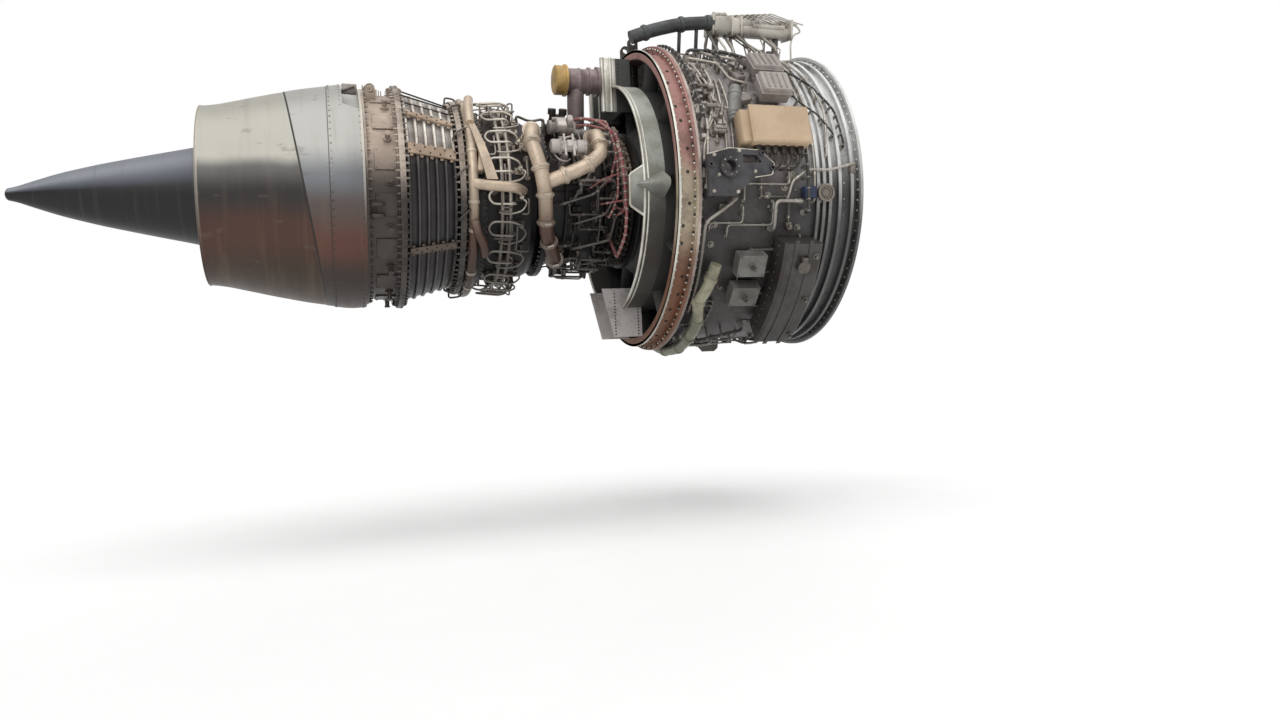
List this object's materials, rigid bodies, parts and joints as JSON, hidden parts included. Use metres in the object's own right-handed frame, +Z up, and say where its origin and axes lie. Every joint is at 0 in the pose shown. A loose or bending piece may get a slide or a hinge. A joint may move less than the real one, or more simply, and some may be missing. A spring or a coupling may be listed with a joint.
{
  "type": "jet engine",
  "caption": "High-bypass turbofan with bare fan case and core, exposed pipes, accessory gearbox, exhaust nozzle and tail plug; the spools and vane drive turn.",
  "frame": {"origin": "centre of the inlet flange at the front of the fan case", "axes": "+X forward along the shaft, +Y to port, +Z up"},
  "size_m": [4.055, 1.8827, 1.9035],
  "materials": {
    "titanium_grey": "weathered metal",
    "primer_frame": "worn primer",
    "vane_metal": "dusty metal",
    "fairing_grey": "dusty paint",
    "duct_wall": "dusty paint",
    "core_metal": "heat-stained metal",
    "liner_metal": "scorched metal",
    "fuel_fittings": "stained steel",
    "manifold_beige": "stained alloy",
    "turbine_case": "sooty metal",
    "cooling_tube": "sooty steel",
    "rear_frame": "heat-tinted metal",
    "nozzle_sheet": "heat-tinted sheet",
    "plug_sheet": "dark satin sheet",
    "mount_steel": "steel",
    "duct_grey": "grey paint",
    "valve_beige": "dusty paint",
    "box_tan": "tan paint",
    "box_mauve": "faded paint",
    "bracket_dark": "dark paint",
    "tank_dark": "oily dark metal",
    "cap_steel": "steel",
    "gearbox_cast": "oily casting",
    "accessory_grey": "grey paint",
    "duct_olive": "grey-green paint",
    "duct_beige": "stained alloy",
    "coupling": "steel",
    "valve_mauve": "faded alloy",
    "port_mauve": "faded alloy",
    "pipe_steel": "dusty steel",
    "lead_dark": "sleeved cable",
    "core_pipe": "heat-stained steel",
    "lead_pink": "faded sleeve",
    "bolt_steel": "dark steel",
    "bearing_steel": "ground steel",
    "spinner_grey": "satin paint",
    "rotor_metal": "machined alloy",
    "blade_titanium": "satin titanium",
    "shaft_steel": "machined steel",
    "lever_alloy": "machined alloy"
  },
  "bodies": {
    "root": {"fan_case": "titanium_grey", "fan_frame": "primer_frame", "guide_vanes": "vane_metal", "inner_fairing": "fairing_grey", "upper_bifurcation": "fairing_grey", "lower_bifurcation": "fairing_grey", "booster_case": "duct_wall", "hpc_case": "core_metal", "combustor_case": "core_metal", "combustor_liner": "liner_metal", "fuel_nozzles": "fuel_fittings", "fuel_manifold": "fuel_fittings", "hpt_case": "core_metal", "turbine_manifold": "manifold_beige", "lpt_case": "turbine_case", "lpt_cooling_tubes": "cooling_tube", "cooling_rails": "manifold_beige", "turbine_frame": "rear_frame", "exhaust_nozzle": "nozzle_sheet", "plug_front": "plug_sheet", "plug_rear": "plug_sheet", "front_mount": "mount_steel", "anti_ice_duct": "duct_grey", "anti_ice_valve": "valve_beige", "control_box": "box_tan", "electronic_boxes": "box_mauve", "side_brackets": "bracket_dark", "oil_tank": "tank_dark", "gearbox": "gearbox_cast", "starter": "accessory_grey", "starter_duct": "duct_olive", "fuel_pump": "gearbox_cast", "hydraulic_pump": "accessory_grey", "generator": "accessory_grey", "lube_unit": "gearbox_cast", "bleed_duct": "duct_beige", "duct_couplings": "coupling", "bleed_valves": "valve_mauve", "service_bleed_port": "port_mauve", "ignition_boxes": "accessory_grey", "vane_actuator": "accessory_grey", "fan_case_tubes": "pipe_steel", "fan_case_harness": "lead_dark", "core_tubes": "core_pipe", "core_harness": "lead_pink", "flange_bolts": "bolt_steel", "bearings": "bearing_steel"},
    "low_spool": {"spinner": "spinner_grey", "fan_disk": "rotor_metal", "fan_blades": "blade_titanium", "booster_rotor": "rotor_metal", "low_shaft": "shaft_steel", "lpt_rotor": "rotor_metal"},
    "high_spool": {"hpc_rotor": "rotor_metal", "hpt_rotor": "rotor_metal"},
    "stator_rings": {"unison_rings": "lever_alloy"},
    "crank": {"bellcrank": "lever_alloy"},
    "rod": {"actuator_rod": "cap_steel"},
    "cap": {"tank_cap": "cap_steel"},
    "lever": {"fuel_lever": "lever_alloy"}
  },
  "joints": [
    {"name": "low_spool_turn", "type": "hinge", "parent": "root", "child": "low_spool", "pos_m": [0, 0, 0], "axis": [1, 0, 0], "continuous": true},
    {"name": "high_spool_turn", "type": "hinge", "parent": "root", "child": "high_spool", "pos_m": [-1.3, 0, 0], "axis": [1, 0, 0], "continuous": true},
    {"name": "unison_turn", "type": "hinge", "parent": "root", "child": "stator_rings", "pos_m": [-1.1, 0, 0], "axis": [1, 0, 0], "range_deg": [-1.8, 1.8]},
    {"name": "bellcrank_turn", "type": "hinge", "parent": "root", "child": "crank", "pos_m": [-1.178, -0.21236, 0.32309], "axis": [0, -0.6428, 0.766], "range_deg": [-15, 15]},
    {"name": "rod_slide", "type": "slide", "parent": "root", "child": "rod", "axis": [1, 0, 0], "range_m": [-0.012, 0.012]},
    {"name": "cap_hinge", "type": "hinge", "parent": "root", "child": "cap", "pos_m": [-0.367, -0.85785, -0.44216], "axis": [-1, 0, 0], "range_deg": [0, 100]},
    {"name": "fuel_lever_turn", "type": "hinge", "parent": "root", "child": "lever", "pos_m": [-0.678, 0.54074, -0.80168], "axis": [0, 0.5592, -0.829], "range_deg": [-45, 45]}
  ],
  "couplings": [
    {"joint": "bellcrank_turn", "follows": "unison_turn", "ratio": -8},
    {"joint": "rod_slide", "follows": "unison_turn", "m_per_rad": -0.36}
  ]
}
